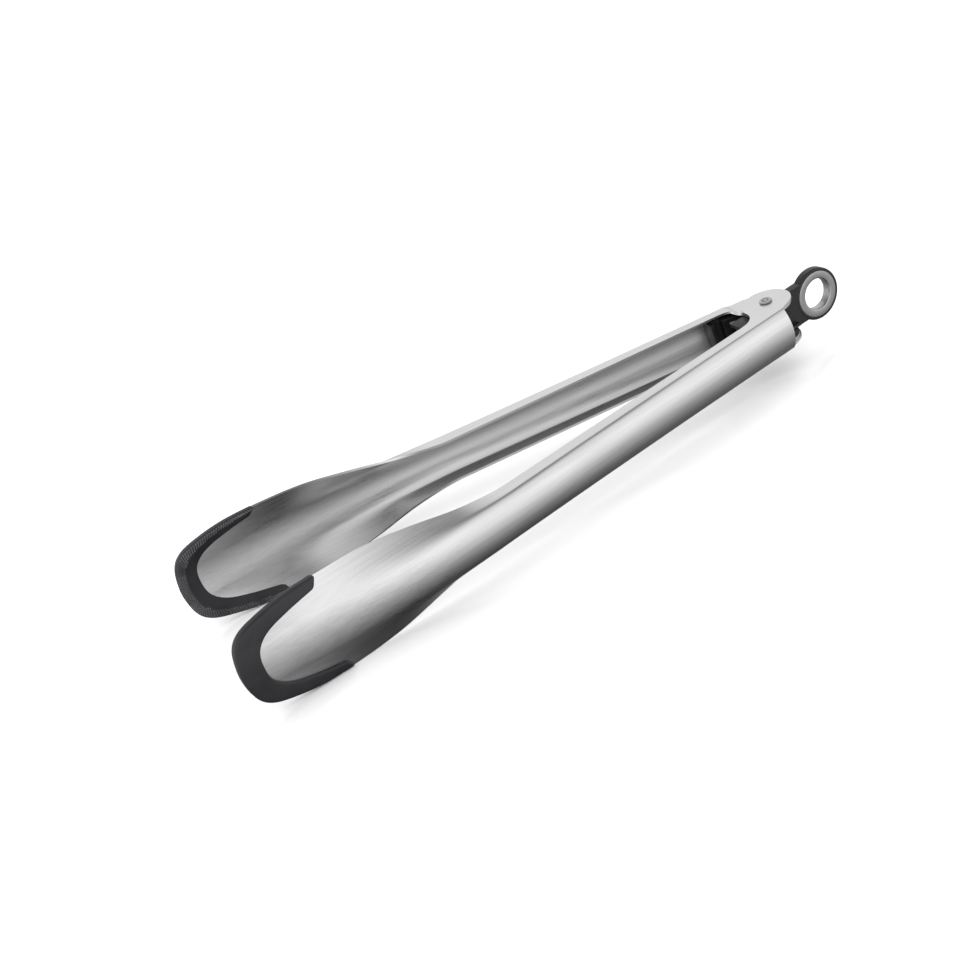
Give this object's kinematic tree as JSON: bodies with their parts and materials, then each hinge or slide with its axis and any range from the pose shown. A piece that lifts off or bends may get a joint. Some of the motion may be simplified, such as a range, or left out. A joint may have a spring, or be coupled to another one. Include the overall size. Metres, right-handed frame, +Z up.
{
  "type": "spring loaded kitchen tongs",
  "caption": "Spring loaded kitchen tongs with steel arms, U shaped silicone rims on the jaws, a rivet pivot and a locking slide with a hanging ring.",
  "frame": {"origin": "middle of the footprint, on the plane that the jaws' lower edges lie on", "axes": "+X from the jaws to the hanging ring, +Y the way the inner arm opens, +Z up along the rivet"},
  "size_m": [0.2998, 0.087, 0.0424],
  "materials": {
    "brushed_steel_sheet": "satin brushed stainless sheet",
    "polished_steel": "polished stainless",
    "spring_steel": "drawn spring wire",
    "jaw_silicone": "matte moulded silicone",
    "black_nylon": "fine grained moulded nylon"
  },
  "bodies": {
    "outer_arm_body": {"outer_arm": "brushed_steel_sheet", "outer_grip_rim": "jaw_silicone", "outer_hub_insert": "black_nylon", "pivot_rivet": "polished_steel", "pivot_spacer": "polished_steel", "torsion_spring": "spring_steel"},
    "inner_arm_body": {"inner_arm": "brushed_steel_sheet", "inner_grip_rim": "jaw_silicone", "inner_hub_insert": "black_nylon"},
    "lock_slide_body": {"lock_slide": "black_nylon", "ring_eyelet": "polished_steel"}
  },
  "joints": [
    {"name": "jaw_hinge", "type": "hinge", "parent": "outer_arm_body", "child": "inner_arm_body", "pos_m": [0.11446, 0, 0.0212], "axis": [0, 0, 1], "range_deg": [0, 16], "stiffness_Nm_per_rad": 0.7, "springref_deg": -20.63, "deforming": ["torsion_spring"]},
    {"name": "lock_pull", "type": "slide", "parent": "outer_arm_body", "child": "lock_slide_body", "axis": [0.9914, 0.1305, 0], "range_m": [0, 0.005]}
  ]
}
